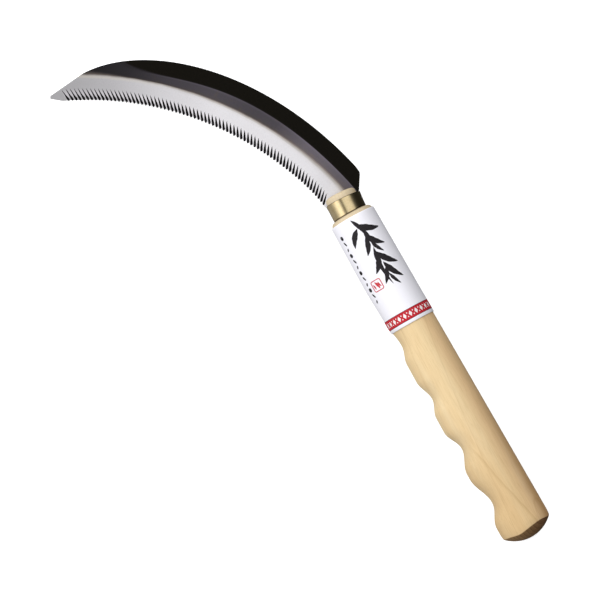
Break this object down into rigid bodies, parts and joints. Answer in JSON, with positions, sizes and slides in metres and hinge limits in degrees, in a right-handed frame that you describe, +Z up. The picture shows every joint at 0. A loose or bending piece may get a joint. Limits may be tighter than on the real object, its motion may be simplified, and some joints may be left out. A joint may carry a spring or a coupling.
{
  "type": "hand sickle",
  "caption": "Saw-edged hand sickle: a crescent blade with fine saw teeth on its inner edge, held in a turned wooden handle with finger grooves, for cutting grass and reaping.",
  "frame": {"origin": "middle of the bounding box in X and Y, at its lowest point in Z: the sickle lies on its back with the blade flat", "axes": "+X along the handle from the butt to the blade, +Y towards the cutting side and the blade's tip, +Z up, out of the blade's ground face"},
  "size_m": [0.331, 0.1248, 0.0281],
  "materials": {
    "blade": "forged steel: glossy black outer band, dark blue-grey slope, and a bright silver ground bevel with saw grooves along the inner edge",
    "handle": "pale straight-grained wood, sanded smooth and unvarnished, darker end grain on the domed butt",
    "ferrule": "polished brass-coloured metal with fine turning marks",
    "tang_pin": "plain drawn steel nail",
    "paper_sleeve": "smooth white paper with a black leaf drawing and a red band, slightly satin"
  },
  "bodies": {
    "root": {"blade": "blade", "handle": "handle", "ferrule": "ferrule", "tang_pin": "tang_pin", "paper_sleeve": "paper_sleeve"}
  },
  "joints": []
}
